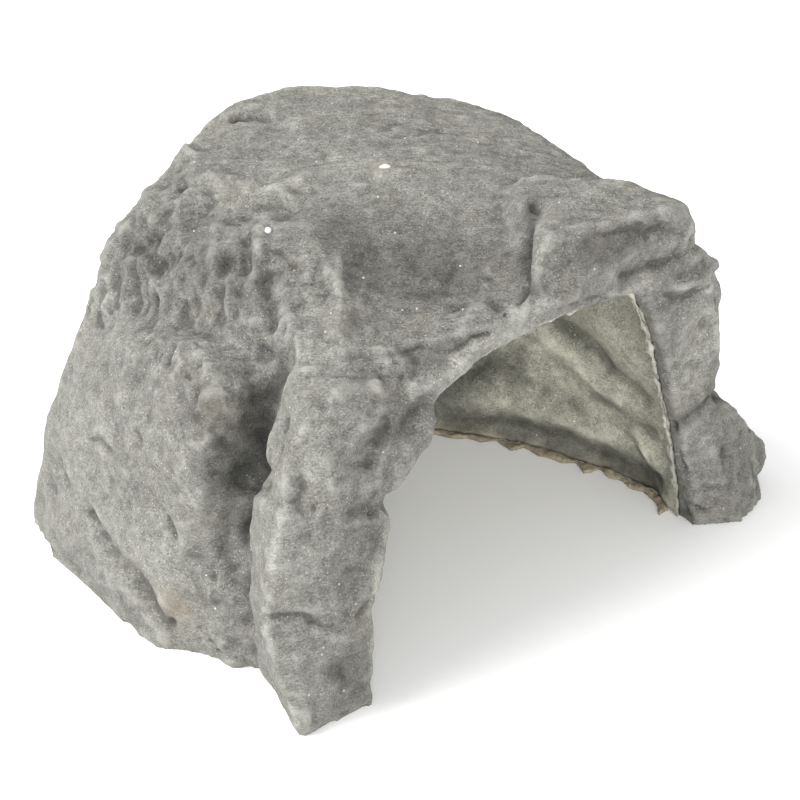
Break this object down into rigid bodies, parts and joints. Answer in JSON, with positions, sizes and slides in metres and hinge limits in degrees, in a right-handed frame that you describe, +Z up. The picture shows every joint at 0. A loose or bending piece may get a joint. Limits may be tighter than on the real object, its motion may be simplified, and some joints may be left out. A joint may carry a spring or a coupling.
{
  "type": "resin cave ornament",
  "caption": "Hollow imitation rock with one wide arched mouth and an open underside, a hide for fish or reptiles in a tank.",
  "frame": {"origin": "centre of the object's bounding box in plan, at the level it stands on", "axes": "+X along the mouth from the left foot to the right foot, +Y into the cave, +Z up"},
  "size_m": [0.1656, 0.13, 0.099],
  "materials": {
    "face_resin": "matte stone-grey cast resin with a fine sandy, speckled skin",
    "backing_resin": "matte grey-olive cast resin, smoother than the outside",
    "seam_resin": "pale ragged resin flash",
    "rim_resin": "tan resin-rich flash, slightly translucent",
    "white_grain": "white mineral filler"
  },
  "bodies": {
    "root": {"face_shell": "face_resin", "inner_lining": "backing_resin", "mouth_seam_flash": "seam_resin", "base_rim_flash": "rim_resin", "quartz_grains": "white_grain"}
  },
  "joints": []
}
